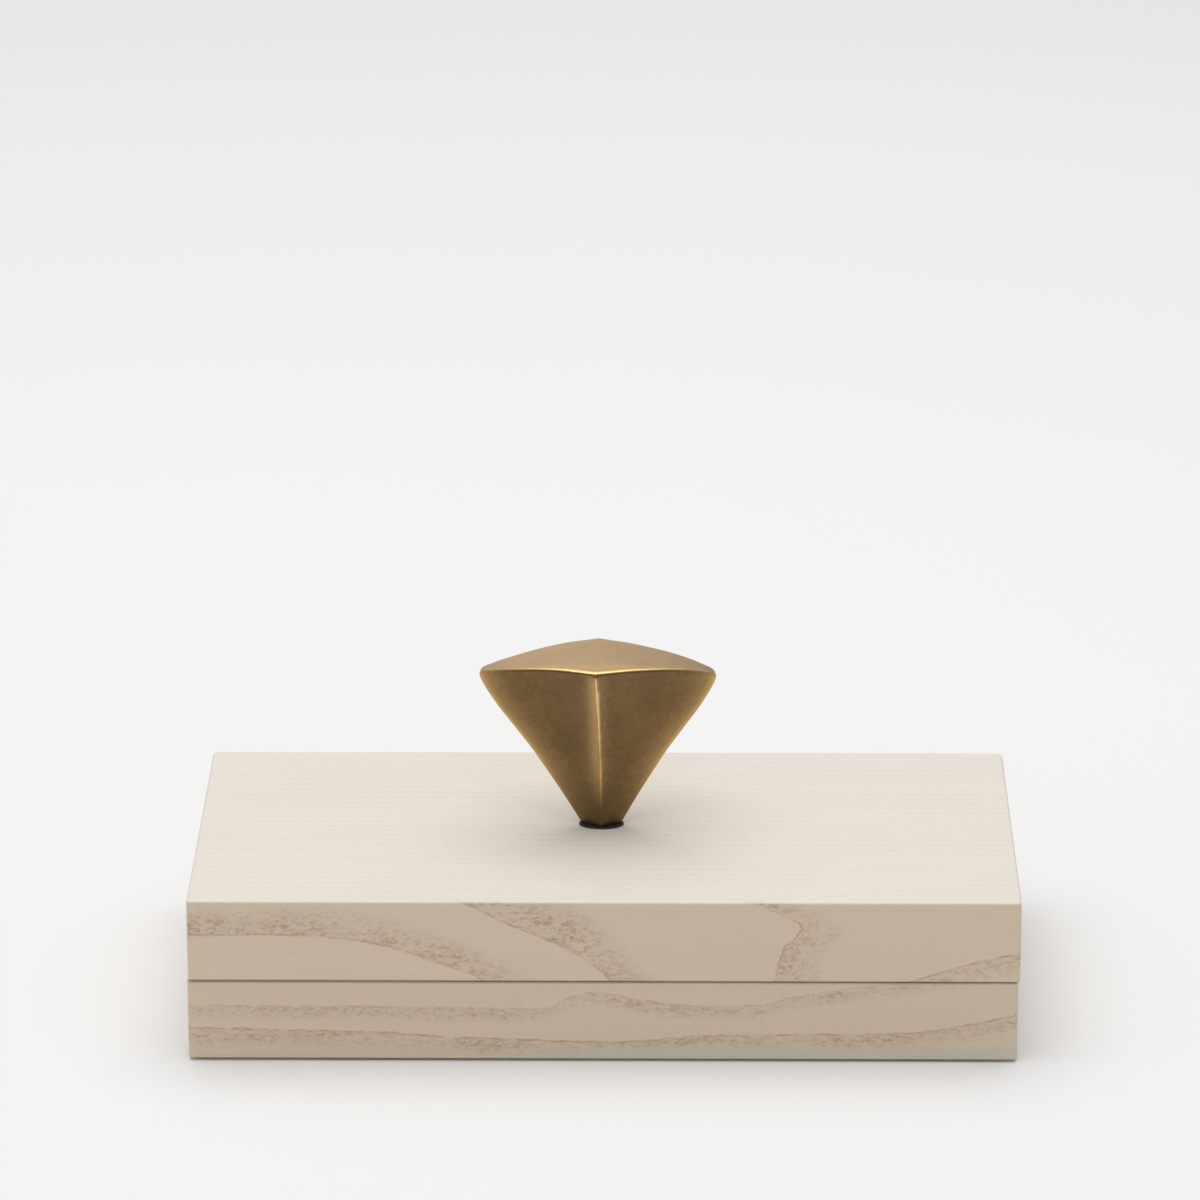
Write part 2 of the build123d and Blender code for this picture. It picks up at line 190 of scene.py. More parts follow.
    def bump(self, height, distance_mm, strength=1.0, after=None):
        n = self.t.nodes.new("ShaderNodeBump")
        n.inputs["Strength"].default_value = strength
        n.inputs["Distance"].default_value = distance_mm * MM
        self.put(height, n.inputs["Height"])
        if after is not None:
            self.put(after, n.inputs["Normal"])
        return S(self, n.outputs[0])

    def finish(self, color=None, rough=None, normal=None, **constants):
        self.put(color, self.b.inputs["Base Color"])
        self.put(rough, self.b.inputs["Roughness"])
        if normal is not None:
            self.put(normal, self.b.inputs["Normal"])
        for key, value in constants.items():
            self.put(value, self.b.inputs[key.replace("_", " ")])
        return self.m


# ------------------------------------------------------------------ limed ash
BODY_FRONT = (0.700, 0.580, 0.440)
PORE_FRONT = (0.470, 0.350, 0.232)
LINE_FRONT = (0.480, 0.325, 0.215)
# the top's colours are lighter: partly more lime held on the top, partly painted light from above
BODY_TOP = (0.800, 0.745, 0.665)
PORE_TOP = (0.730, 0.655, 0.560)
BARE = (0.640, 0.500, 0.345)
BARE_PORE = (0.500, 0.365, 0.225)
GREY_LIME = (0.610, 0.570, 0.480)


def limed_ash(name, layer):
    """Solid limed ash. The growth rings are surfaces in space, so every face shows its own cut of the same board."""
    m = Mat(name)
    X, Y, Z = m.x, m.y, m.z
    wob = m.noise(m.stretch(0.035, 0.06, 0.11), 1.0, 3.0, 0.55, offset=1.3 if layer == "lid" else 7.7)
    fine = m.noise(m.stretch(0.22, 0.5, 0.55), 1.0, 3.0, 0.6, offset=3.1)
    jit = m.noise(m.stretch(0.75, 1.3, 1.2), 1.0, 3.0, 0.65, offset=51.0)
    deep = Y + 50.0                                   # distance in from the front face

    # growth-ring surfaces that come out on the front face: signed distance, positive on the porous side
    if layer == "lid":
        zz = Z + wob * 0.9 + fine * 0.45 + jit * 0.50
        xx = X + wob * 1.6 + fine * 0.7 + jit * 0.85
        first = m.curve(X, [(-104, 32.6), (-82, 32.9), (-65, 32.3), (-50, 29.3), (-40, 25.9), (-29.5, 21.6),
                            (-20, 16.0), (0, 4.0), (104, -60.0)], -104, 104)
        d1 = (zz - first) * 0.93 + deep * 2.2
        second = m.curve(X, [(-104, 74.0), (-60, 56.0), (-33.6, 41.6), (-19.8, 34.6), (-10.2, 30.4), (-3.0, 25.9),
                             (1.8, 21.2), (10.0, 12.0), (104, -90.0)], -104, 104)
        d2 = (zz - second) * 0.80 + deep * 2.2
        third = m.curve(Z, [(20, 41.0), (22, 41.4), (26, 42.0), (30.2, 43.6), (33.2, 46.4), (35.2, 47.2),
                            (37.0, 45.2), (40.8, 37.0), (42.0, 33.5)], 20, 42)
        d3 = (xx - third) * 0.92 + deep * 3.0
        fourth = m.curve(X, [(-104, -60.0), (60, 16.5), (74.7, 21.4), (85.5, 25.2), (95, 27.8), (104, 29.6)],
                         -104, 104)
        d4 = (fourth - zz) * 0.97 + deep * 1.6
        bands = [(d1, 9.0, 0.95), (d2, 12.5, 1.0), (d3, 13.0, 0.9), (d4, 7.0, 0.9)]
        lines = [(d1, 0.85), (d2, 0.95), (d3, 1.0), (d4, 0.9)]
    else:
        zz = Z + wob * 0.7 + fine * 0.45 + jit * 0.50
        first = m.curve(X, [(-104, 14.2), (-60, 13.8), (-16.7, 13.4), (-9, 16.0), (-1.1, 17.4), (8.6, 15.7),
                            (23, 14.4), (37.4, 14.6), (44.6, 16.7), (63.8, 19.5), (80, 22.0), (104, 26.0)], -104, 104)
        d1 = (first - zz) + deep * 1.6
        second = m.curve(X, [(-104, 8.2), (-60, 7.4), (-29.9, 5.6), (3.7, 4.9), (23, 6.3), (50, 6.9), (71.1, 7.3),
                             (85.5, 9.2), (99.2, 11.9), (104, 12.6)], -104, 104)
        d2 = (second - zz) + deep * 1.6
        bands = [(d1, 4.6, 0.80), (d2, 5.6, 0.90)]
        lines = [(d1, 0.60), (d2, 0.85)]

    # the same rings further in: nearly parallel to the front, so the top is cut straight
    lazy = m.noise(m.stretch(0.0065, 0.02, 0.045), 1.0, 2.0, 0.5, offset=11.0 if layer == "lid" else 23.0)
    wave = lazy * m.step(deep, 0.0, 100.0, 0.5, 9.0, smooth=False) + wob * 0.35 + fine * 0.12
    ring = m.frac((deep + wave) / 3.1 + 0.45)
    inner_band = m.step(ring, 0.0, 0.12) * m.step(ring, 0.16, 0.62, 1.0, 0.0)
    inner_line = m.step(ring, 0.90, 0.985) * m.step(ring, 0.985, 1.0, 1.0, 0.0)
    behind = m.step(deep, 1.2, 3.0)                   # off the front face
    pores = inner_band * behind * 0.8
    line = inner_line * behind * 0.55
    front = m.step(deep, 1.2, 4.0, 1.0, 0.0)
    for d, width, strength in bands:
        pores = m.max(pores, m.step(d, -0.15, 0.5) * m.step(d, width * 0.25, width, 1.0, 0.0) * front * strength)
    for d, strength in lines:
        line = m.max(line, m.step(m.abs(d), 0.05, 0.42, 1.0, 0.0) * front * strength)

    # vessels: short marks along the grain, dots on the end grain
    marks = m.noise(m.stretch(0.56, 1.25, 1.15), 1.0, 2.5, 0.62, 0.7, offset=5.0)
    worms = m.step(m.abs(m.noise(m.stretch(0.42, 1.1, 0.95), 1.0, 1.5, 0.5, 0.6, offset=9.0)), 0.02, 0.10, 1.0, 0.0)
    clump = m.step(m.noise(m.stretch(0.16, 0.35, 0.35), 1.0, 2.0, 0.5, offset=57.0), -0.25, 0.30)
    speck = m.max(m.step(marks, -0.10, 0.28), worms * clump * 0.60)
    patchy = m.step(m.noise(m.stretch(0.05, 0.1, 0.13), 1.0, 2.0, 0.5, offset=15.0), -0.45, 0.25, 0.45, 1.0)
    pore = m.math("MULTIPLY", pores * patchy, m.math("MULTIPLY_ADD", speck, 0.80, 0.20), clamp=True)
    stray = m.step(m.noise(m.stretch(0.16, 1.9, 1.9), 1.0, 3.0, 0.6, offset=19.0), 0.24, 0.50) * 0.20
    pore = m.max(pore, stray)
    broken = m.step(m.noise(m.stretch(0.20, 0.5, 0.5), 1.0, 2.5, 0.55, offset=27.0), -0.38, 0.22, 0.12, 1.0)
    line = line * broken * m.step(marks, -0.45, 0.15, 0.45, 1.0)

    # fine fibre streaks along X and slow cloudiness of the lime
    level = 0.985 if layer == "lid" else 0.955        # the base is made a little darker: painted shade of the lower layer near the floor
    fibre = m.noise(m.stretch(0.035, 1.2, 1.2), 1.0, 4.0, 0.65, offset=33.0)
    cloud = m.noise(m.stretch(0.010, 0.05, 0.05), 1.0, 3.0, 0.55, offset=41.0)
    grit = m.noise(m.stretch(1.1, 1.7, 1.7), 1.0, 3.0, 0.65, offset=43.0)

    tone = m.math("MULTIPLY_ADD", fibre, 0.028, level) + cloud * 0.045 + grit * 0.070 + jit * 0.020
    body = m.mix(m.step(cloud, -0.4, 0.5), BODY_FRONT, tuple(c * k for c, k in zip(BODY_FRONT, (1.0, 0.985, 0.96))))
    side = m.mix(pore, body, PORE_FRONT)
    side = m.mix(line, side, LINE_FRONT)
    if layer == "base":
        grey = m.step(Z + wob * 0.8, 2.6, 5.2, 1.0, 0.0) * m.step(X, -40.0, 0.0) * 0.75
        grey = m.max(grey, m.step(Z + wob * 0.5, 17.6, 19.2) * 0.18)
        side = m.mix(grey, side, GREY_LIME)
    # the top takes its own lighter colours, chosen by the face's normal: partly more lime held on the top, partly
    # painted light from above
    top = m.mix(m.math("MULTIPLY", pore, 0.75), BODY_TOP, PORE_TOP)
    top = m.mix(line * 0.35, top, PORE_TOP)
    up = m.step(m.normal_z(), 0.35, 0.92) * m.step(Z, 40.4, 41.0)
    color = m.mix(up, side, top)

    # inside the milled hollows the wood is bare
    out = m.max(m.step(m.abs(X), 98.6, 99.2), m.step(m.abs(Y), 48.6, 49.2))
    out = m.max(out, m.step(Z, 40.2, 40.8))
    out = m.max(out, m.step(Z, 1.0, 1.6, 1.0, 0.0))
    rim = m.step(m.normal_z(), -0.9, -0.6, 1.0, 0.0)  # the lid's lower face and its ceiling point down
    bare = m.mix(pore, BARE, BARE_PORE)
    bare = m.mix(line, bare, tuple(c * 0.85 for c in BARE_PORE))
    color = m.mix(out, bare, color)
    # painted shade in the joint between the layers, darker at the left
    near = m.step(Z, 21.15, 21.55, 1.0, 0.0) if layer == "lid" else m.step(Z, 20.25, 20.62)
    painted_seam_shade = near * m.step(X, -60.0, 90.0, 0.62, 0.26) * m.step(m.abs(m.normal_z()), 0.35, 0.75, 1.0, 0.0)
    # mix in the painted seam shade on the outer faces
    color = m.mix(painted_seam_shade * out, color, (0.120, 0.088, 0.052))
    color = m.mix(1.0, color, m.vec(tone, tone, tone), "MULTIPLY")

    rough = m.math("MULTIPLY_ADD", pore, 0.14, 0.60) + grit * 0.04
    height = (pore * -0.65) + (line * -0.25) + (fibre * 0.16) + (grit * 0.12)
    return m.finish(color, rough, m.bump(height, 0.10, 0.55),
                    Specular_IOR_Level=0.28, IOR=1.45)


# ------------------------------------------------------------------ other materials
def brass(name, turned=False):
    """Aged satin brass: dark patina on the faces; gold along the edges, partly wear and partly painted highlight; a
    painted pale sheen on the top; painted shade under the front rim.
    """
    m = Mat(name)
    edge = m.attr("worn")
    painted_rim_shade = m.attr("painted_rim_shade")
    top_sheen_mask = m.attr("painted_top_sheen")
    cloud = m.noise(m.p, 0.10, 3.0, 0.55, offset=2.0)
    spots = m.noise(m.p, 0.9, 4.0, 0.65, offset=4.0)
    grain = m.noise(m.stretch(1.2, 1.2, 6.0), 1.0, 3.0, 0.6, offset=6.0)
    fine = m.noise(m.p, 5.5, 2.0, 0.6, offset=8.0)
    patina = m.mix(m.step(cloud + spots * 0.35, -0.5, 0.5), (0.165, 0.106, 0.049), (0.215, 0.132, 0.061))
    # painted sheen: the top and its rounding get a pale colour in place of their reflection, brighter at the left,
    # which is painted light
    sheen_colour = m.mix(m.step(cloud + spots * 0.3, -0.5, 0.5), (0.560, 0.390, 0.218), (0.632, 0.450, 0.262))
    painted_light_slope = m.step(m.x, -26.0, 26.0, 1.09, 0.86)
    sheen_colour = m.mix(1.0, sheen_colour, m.vec(painted_light_slope, painted_light_slope * 0.995, painted_light_slope * 0.97), "MULTIPLY")
    patina = m.mix(top_sheen_mask, patina, sheen_colour)
    gold = (0.93, 0.625, 0.265)
    # the gold is partly wear and partly painted highlight
    worn = m.math("MULTIPLY_ADD", spots, 0.10, edge, clamp=True)
    color = m.mix(worn, patina, gold)
    # painted shade under the front rim and at the front corner
    color = m.mix(painted_rim_shade, color, (0.085, 0.055, 0.025))
    low = m.step(m.z, 42.0, 56.0, 0.80, 1.0)          # darker towards the foot
    color = m.mix(1.0, color, m.vec(low, low, low), "MULTIPLY")
    tone = m.math("MULTIPLY_ADD", fine, 0.05, 1.0) + grain * 0.04
    color = m.mix(1.0, color, m.vec(tone, tone, tone), "MULTIPLY")
    rough = m.math("MULTIPLY_ADD", edge, -0.10, 0.46) + spots * 0.04 + grain * 0.03
    return m.finish(color, rough, m.bump(grain * 0.5 + fine * 0.5 + spots * 0.4, 0.03, 0.35), Metallic=0.92)


def fitting_wood(name):
    m = Mat(name)
    along = m.noise(m.stretch(0.02, 0.02, 1.1), 1.0, 3.0, 0.6, offset=2.0)
    fleck = m.noise(m.stretch(0.25, 0.25, 3.0), 1.0, 2.0, 0.6, offset=5.0)
    fine = m.noise(m.p, 3.0, 2.0, 0.6, offset=7.0)
    ring = m.frac(m.math("MULTIPLY_ADD", m.z, 0.42, along * 0.9))
    dark = m.step(ring, 0.55, 0.95) * m.step(ring, 0.95, 1.0, 1.0, 0.0)
    color = m.mix(dark * 0.55, (0.600, 0.455, 0.300), (0.470, 0.330, 0.195))
    color = m.mix(m.step(fleck, 0.2, 0.5) * 0.4, color, (0.430, 0.295, 0.170))
    tone = m.math("MULTIPLY_ADD", fine, 0.035, 1.0)
    color = m.mix(1.0, color, m.vec(tone, tone, tone), "MULTIPLY")
    return m.finish(color, m.math("MULTIPLY_ADD", fine, 0.05, 0.52),
                    m.bump(fleck * -0.5 + fine * 0.3, 0.06, 0.5), Specular_IOR_Level=0.35)


def cork(name):
    m = Mat(name)
    cell = m.voronoi(m.stretch(1, 1, 1), 0.85, out="Color")
    n = m.t.nodes.new("ShaderNodeSeparateColor")
    m.put(cell, n.inputs[0])
    r = S(m, n.outputs[0])
    edge = m.voronoi(m.p, 0.85, "DISTANCE_TO_EDGE")
    color = m.mix(r, (0.235, 0.135, 0.066), (0.400, 0.250, 0.128))
    color = m.mix(m.step(edge, 0.0, 0.10, 0.8, 0.0), color, (0.110, 0.062, 0.032))
    fine = m.noise(m.p, 4.0, 3.0, 0.6)
    return m.finish(color, 0.85, m.bump(m.step(edge, 0.0, 0.14) + fine * 0.3, 0.12, 0.8), Specular_IOR_Level=0.2)


def fibre_washer(name):
    m = Mat(name)
    fine = m.noise(m.p, 5.0, 4.0, 0.65)
    big = m.noise(m.p, 0.7, 2.0, 0.5, offset=3.0)
    color = m.mix(m.step(fine + big * 0.4, -0.4, 0.5), (0.012, 0.012, 0.012), (0.038, 0.036, 0.033))
    return m.finish(color, m.math("MULTIPLY_ADD", fine, 0.08, 0.62), m.bump(fine, 0.04, 0.6))


def steel(name, tint=(0.60, 0.59, 0.57), along_x=False):
    m = Mat(name)
    if along_x:      # drawn tube: faint lines along the brush
        lines = m.noise(m.stretch(0.05, 5.0, 5.0), 1.0, 3.0, 0.6)
    else:            # turned: rings about the knob's axis
        dx, dy = m.x + 0.95, m.y - 0.6
        radius = m.math("SQRT", dx * dx + dy * dy)
        lines = m.noise(m.vec(radius * 6.0, m.z * 0.4, 0.0), 1.0, 2.0, 0.6)
    smear = m.noise(m.p, 0.35, 3.0, 0.6, offset=4.0)
    color = m.mix(m.step(smear, -0.4, 0.5), tint, tuple(c * 0.80 for c in tint))
    tone = m.math("MULTIPLY_ADD", lines, 0.07, 1.0)
    color = m.mix(1.0, color, m.vec(tone, tone, tone), "MULTIPLY")
    return m.finish(color, m.math("MULTIPLY_ADD", smear, 0.06, 0.30) + lines * 0.05,
                    m.bump(lines, 0.02, 0.5), Metallic=1.0)


def enamel(name):
    m = Mat(name)
    peel = m.noise(m.p, 0.55, 2.0, 0.5)
    fine = m.noise(m.p, 3.0, 3.0, 0.6, offset=3.0)
    scuff = m.step(m.noise(m.stretch(0.5, 0.5, 2.0), 1.0, 4.0, 0.7, offset=6.0), 0.30, 0.45) * m.step(m.z, 12.0, 12.5)
    color = m.mix(m.step(fine, -0.5, 0.5), (0.018, 0.018, 0.020), (0.030, 0.029, 0.030))
    color = m.mix(scuff * 0.6, color, (0.22, 0.21, 0.20))
    rough = m.math("MULTIPLY_ADD", fine, 0.05, 0.24) + scuff * 0.25
    return m.finish(color, rough, m.bump(peel * 0.7 + fine * 0.2, 0.05, 0.4), Coat_Weight=0.4, Coat_Roughness=0.12)


def pan_plastic(name):
    m = Mat(name)
    fine = m.noise(m.p, 1.4, 3.0, 0.6)
    big = m.noise(m.p, 0.12, 2.0, 0.5, offset=2.0)
    color = m.mix(m.step(big, -0.4, 0.4), (0.800, 0.795, 0.770), (0.745, 0.735, 0.700))
    stain = m.step(m.noise(m.p, 0.45, 3.0, 0.6, offset=9.0), 0.18, 0.42) * 0.18
    color = m.mix(stain, color, (0.56, 0.53, 0.48))
    return m.finish(color, m.math("MULTIPLY_ADD", fine, 0.05, 0.36), m.bump(fine, 0.03, 0.4),
                    Subsurface_Weight=0.08, Subsurface_Scale=0.0008, Subsurface_Radius=(1.0, 0.95, 0.85))


def glaze(name):
    """White glazed ceramic with a few faint washes of paint left in the wells."""
    m = Mat(name)
    wave = m.noise(m.p, 0.16, 2.0, 0.5)
    fine = m.noise(m.p, 2.2, 2.0, 0.5, offset=4.0)
    pin = m.step(m.noise(m.p, 1.6, 1.0, 0.4, offset=12.0), 0.62, 0.70)
    color = m.mix(m.step(wave, -0.5, 0.5), (0.815, 0.812, 0.795), (0.780, 0.778, 0.760))
    color = m.mix(pin * 0.5, color, (0.42, 0.38, 0.33))
    washes = (  # centre x, y, half sizes, colour, strength
        (22.3, 4.8, (0.150, 0.270, 0.560), 0.42, 1.0), (47.5, 4.8, (0.640, 0.370, 0.110), 0.34, 2.0),
        (72.7, 4.8, (0.250, 0.420, 0.230), 0.38, 3.0), (22.3, 28.9, (0.600, 0.120, 0.140), 0.36, 4.0),
        (72.7, 28.9, (0.360, 0.240, 0.150), 0.34, 5.0))
    for cx, cy, tint, strength, seed in washes:
        dx, dy = (m.x - cx) / 9.6, (m.y - cy) / (13.5 if cy < 20 else 4.4)
        r = m.math("SQRT", dx * dx + dy * dy) + m.noise(m.p, 0.13, 2.0, 0.5, offset=seed) * 0.30
        pool = m.step(r, 0.55, 0.80, 1.0, 0.0)
        tide = m.step(r, 0.50, 0.72) * m.step(r, 0.74, 0.80, 1.0, 0.0)
        depth = m.step(m.z, 10.55, 12.2, 1.0, 0.0)
        f = (pool * 0.55 + tide * 0.9) * depth * strength
        color = m.mix(f, color, m.mix(0.45, tint, (0.80, 0.80, 0.78)))
    return m.finish(color, m.math("MULTIPLY_ADD", fine, 0.02, 0.10), m.bump(wave * 0.8 + fine * 0.05, 0.10, 0.35),
                    Specular_IOR_Level=0.55, Coat_Weight=0.5, Coat_Roughness=0.05)


def lacquer(name):
    """Turned handle: dark lacquer over wood, worn where it is held, a paler dipped end."""
    m = Mat(name)
    fine = m.noise(m.stretch(0.12, 2.0, 2.0), 1.0, 3.0, 0.6)
    grain = m.noise(m.stretch(0.05, 1.4, 1.4), 1.0, 4.0, 0.6, offset=3.0)
    color = m.mix(m.step(grain, -0.4, 0.45), (0.120, 0.026, 0.016), (0.185, 0.046, 0.024))
    dip = m.step(m.x + m.noise(m.p, 0.6, 2.0, 0.5, offset=5.0) * 0.3, -72.2, -71.6, 1.0, 0.0)
    color = m.mix(dip, color, (0.026, 0.024, 0.024))
    wear = m.step(m.noise(m.stretch(0.10, 0.5, 0.5), 1.0, 4.0, 0.65, offset=8.0), 0.16, 0.40) \
        * m.step(m.abs(m.x - 20.0), 6.0, 16.0, 1.0, 0.0)
    color = m.mix(wear * 0.35, color, (0.330, 0.150, 0.075))
    rough = m.math("MULTIPLY_ADD", fine, 0.03, 0.22) + wear * 0.15
    return m.finish(color, rough, m.bump(fine, 0.02, 0.35), Coat_Weight=0.6, Coat_Roughness=0.08)


def hair_stuff(name):
    m = Mat(name)
    tip = m.step(m.x, 60.0, 80.0)
    strand = m.noise(m.stretch(0.05, 3.2, 3.2), 1.0, 2.0, 0.5)
    color = m.mix(m.step(strand, -0.4, 0.4), (0.090, 0.042, 0.018), (0.200, 0.100, 0.045))
    color = m.mix(tip * 0.65, color, (0.058, 0.026, 0.012))
    return m.finish(color, m.math("MULTIPLY_ADD", strand, 0.05, 0.42), m.bump(strand, 0.04, 0.6),
                    Anisotropic=0.4, Sheen_Weight=0.15, Sheen_Roughness=0.4)


def paint_stuff(name, mass, tint, glossy):
    """Dried watercolour: mass tone, thinner and paler where it was wetted, granulation, and dust."""
    m = Mat(name)
    gran = m.noise(m.p, 2.6, 4.0, 0.7)
    wash = m.noise(m.p, 0.28, 3.0, 0.6, offset=4.0)
    worn = m.attr("wet")
    color = m.mix(m.step(wash + gran * 0.3, -0.45, 0.55), mass, tuple(a * 0.6 + b * 0.4 for a, b in zip(mass, tint)))
    color = m.mix(m.math("MULTIPLY_ADD", gran, 0.18, worn * 0.55, clamp=True), color, tint)
    chalk = m.step(m.noise(m.p, 0.9, 3.0, 0.65, offset=7.0), 0.24, 0.52) * 0.16
    color = m.mix(chalk, color, tuple(min(0.85, c + 0.16) for c in tint))
    rough = m.math("MULTIPLY_ADD", gran, 0.08, 0.34 if glossy else 0.55) + worn * -0.10
    return m.finish(color, rough, m.bump(gran * 0.5 + wash * 0.6, 0.10, 0.5), Specular_IOR_Level=0.5)


def floor_paper(name):
    m = Mat(name)
    fine = m.noise(m.p, 0.9, 3.0, 0.6)
    big = m.noise(m.p, 0.006, 2.0, 0.5, offset=3.0)
    tone = m.math("MULTIPLY_ADD", fine, 0.004, 1.0) + big * 0.004
    color = m.mix(1.0, FLOOR_COLOUR, m.vec(tone, tone, tone), "MULTIPLY")
    return m.finish(color, 0.9, m.bump(fine, 0.02, 0.1), Specular_IOR_Level=0.15)


FLOOR_COLOUR = (0.880, 0.880, 0.875)


# ------------------------------------------------------------------ mesh helpers
def new_object(name, verts, faces, mat, smooth=True, attrs=None):
    mesh = bpy.data.meshes.new(name)
    mesh.from_pydata([tuple(c * MM for c in v) for v in verts], [], faces)
    for key, values in (attrs or {}).items():
        a = mesh.attributes.new(key, "FLOAT", "POINT")
        a.data.foreach_set("value", np.array(values, np.float32))
    mesh.validate()
    bm = bmesh.new()
    bm.from_mesh(mesh)
    bmesh.ops.remove_doubles(bm, verts=bm.verts, dist=1e-6)
    bmesh.ops.dissolve_degenerate(bm, dist=1e-6, edges=bm.edges)
    bmesh.ops.recalc_face_normals(bm, faces=bm.faces)
    bm.to_mesh(mesh)
    bm.free()
    if smooth:
        mesh.polygons.foreach_set("use_smooth", [True] * len(mesh.polygons))
    mesh.materials.append(mat)
    o = bpy.data.objects.new(name, mesh)
    bpy.context.scene.collection.objects.link(o)
    return o


def smooth_table(table, v):
    """Monotone-ish cubic through the table's rows."""
    xs = [r[0] for r in table]
    ys = [r[1] for r in table]
    if v <= xs[0]:
        return ys[0]
    if v >= xs[-1]:
        return ys[-1] + (v - xs[-1]) * (ys[-1] - ys[-2]) / (xs[-1] - xs[-2])
    d = [(ys[i + 1] - ys[i]) / (xs[i + 1] - xs[i]) for i in range(len(xs) - 1)]
    t = [d[0]] + [0 if d[i - 1] * d[i] <= 0 else 2 * d[i - 1] * d[i] / (d[i - 1] + d[i])
                  for i in range(1, len(d))] + [d[-1]]
    for i in range(len(xs) - 1):
        if v <= xs[i + 1]:
            h = xs[i + 1] - xs[i]
            s = (v - xs[i]) / h
            return ((1 + 2 * s) * (1 - s) ** 2 * ys[i] + s * (1 - s) ** 2 * h * t[i]
                    + s * s * (3 - 2 * s) * ys[i + 1] + s * s * (s - 1) * h * t[i + 1])


# ------------------------------------------------------------------ knob
KNOB_X, KNOB_Y, KNOB_TURN = -0.95, 0.6, math.radians(-1.2)
KNOB_Z0, KNOB_H = 42.05, 43.9
KNOB_LEAN = math.tan(math.radians(1.25))              # it was screwed on a touch out of upright, to the left
SECTIONS = [(0.0, 4.85, 3.05), (7.0, 8.85, 4.75), (13.2, 12.65, 6.25), (19.5, 16.65, 7.80), (25.8, 21.15, 9.55),
            (32.1, 25.60, 11.25), (38.3, 28.90, 12.10), (44.5, 30.40, 12.50)]
ARCH = [(0, 0), (8.0, 0.17), (12.0, 0.50), (15.7, 0.84), (19.6, 1.40), (23.5, 2.22), (25.6, 2.80), (27.6, 3.48),
        (28.9, 4.40), (29.5, 6.10)]


def knob_outline(h, n_end=9, n_side=18, n_ridge=8):
    """The kite-shaped section at height h: a quarter at a time, all round. Each row is (x, y, edge weight, side)."""
    a = smooth_table([(s[0], s[1]) for s in SECTIONS], h)
    b = smooth_table([(s[0], s[2]) for s in SECTIONS], h)
    r_end = 0.55 + 1.15 * h / 44.0
    r_ridge = 0.60 + 0.55 * h / 44.0
    A, B = a, b
    for _ in range(8):
        half = math.atan2(B, A)
        A = a + r_end * (1 / math.sin(half) - 1)
        B = b + r_ridge * (1 / math.cos(half) - 1)
    half = math.atan2(B, A)
    phi = math.pi / 2 - half
    quarter = []
    cx = A - r_end / math.sin(half)
    for i in range(n_end):
        t = phi * i / (n_end - 1)
        quarter.append((cx + r_end * math.cos(t), r_end * math.sin(t), 1.0))
    cy = B - r_ridge / math.cos(half)
    p0 = quarter[-1]
    p1 = (r_ridge * math.cos(phi), cy + r_ridge * math.sin(phi))
    bow = 0.22 * h / 44.0
    for i in range(1, n_side):
        f = i / n_side
        f = f - 0.10 * math.sin(2 * math.pi * f)      # closer together near the edges
        q = 4 * f * (1 - f) * bow
        quarter.append((p0[0] + (p1[0] - p0[0]) * f + math.cos(phi) * q,
                        p0[1] + (p1[1] - p0[1]) * f + math.sin(phi) * q, 0.0))
    for i in range(n_ridge):
        t = phi + (math.pi / 2 - phi) * i / (n_ridge - 1)
        quarter.append((r_ridge * math.cos(t), cy + r_ridge * math.sin(t), 1.0))
    ring = list(quarter)                                             # +x end to +y ridge
    ring += [(-x, y, e) for x, y, e in reversed(quarter[:-1])]       # to the -x end
    ring += [(-x, -y, e) for x, y, e in quarter[1:]]                 # to the -y ridge
    ring += [(x, -y, e) for x, y, e in reversed(quarter[1:-1])]      # and back
    return ring


def knob_drop(x):
    # filed by hand: the left shoulder is a little lower than the right
    return smooth_table(ARCH, abs(x)) + (0.36 * math.exp(-((x + 20.0) / 6.5) ** 2) if x < 0 else 0.0)


